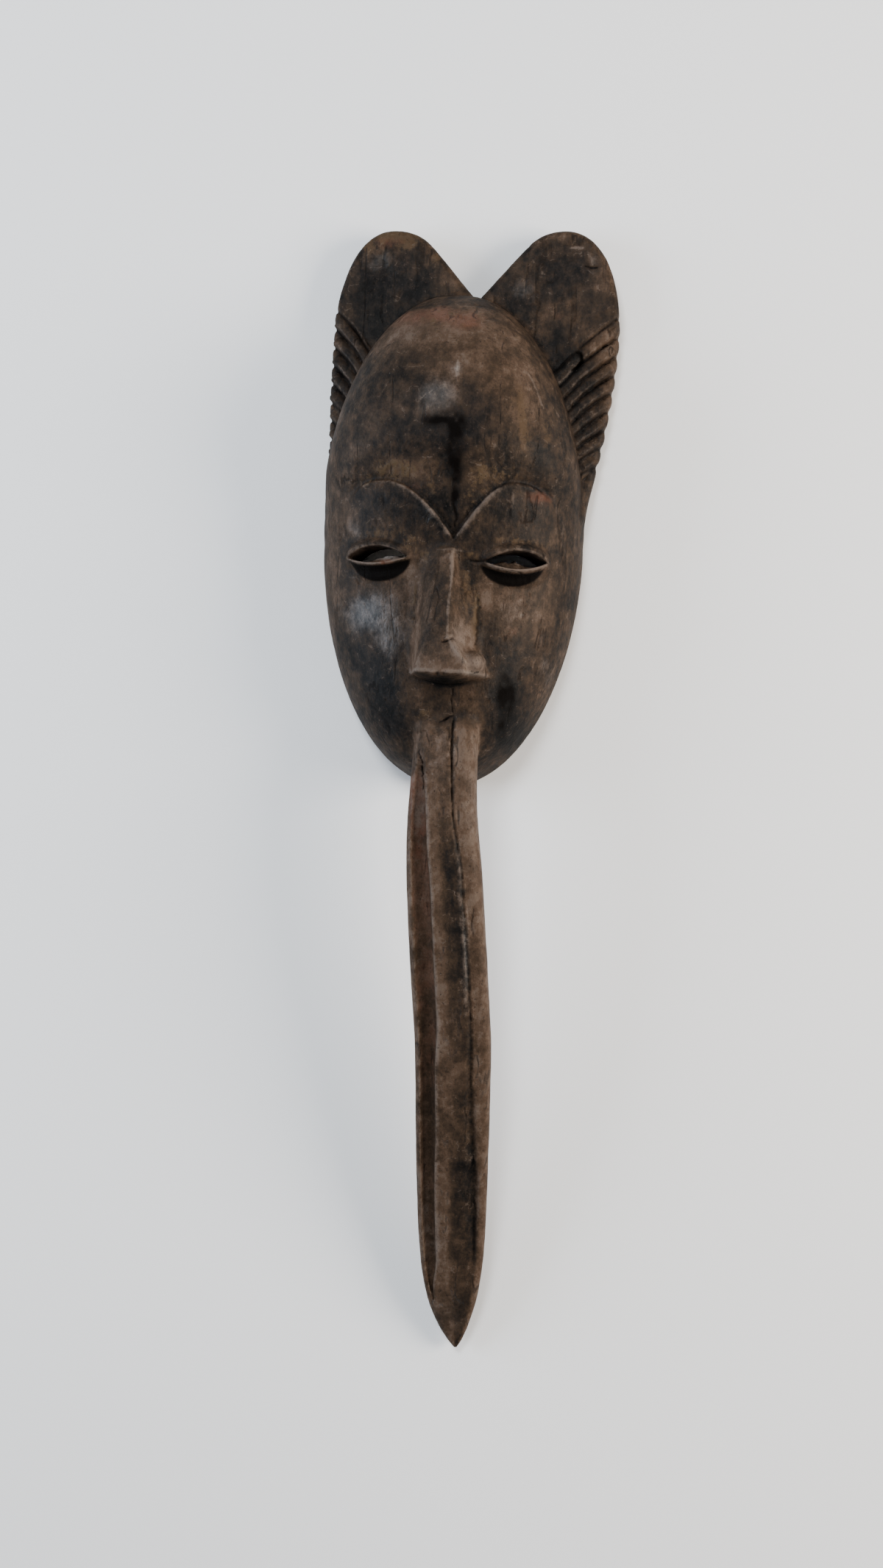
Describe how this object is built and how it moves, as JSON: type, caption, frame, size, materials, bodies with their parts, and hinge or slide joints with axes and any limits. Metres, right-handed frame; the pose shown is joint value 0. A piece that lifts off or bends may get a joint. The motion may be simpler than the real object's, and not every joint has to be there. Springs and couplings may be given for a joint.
{
  "type": "carved face mask",
  "caption": "Dark hand-carved wooden face mask with a domed forehead, arched brows, slit eyes, a wedge nose, a lobed crest with hair strands at its flanks and a long grooved beak, hollow behind",
  "frame": {"origin": "on the plane that the mask's back lies on, under the middle of its box", "axes": "+Y runs up the face towards the crest, +Z out of the face, +X to the right of somebody looking at the face"},
  "size_m": [0.1488, 0.5718, 0.077],
  "materials": {
    "carved_wood": "dark brown to black patina, semi-gloss where handled, dull and dusty in the cuts"
  },
  "bodies": {
    "root": {"carved_mask": "carved_wood"}
  },
  "joints": []
}
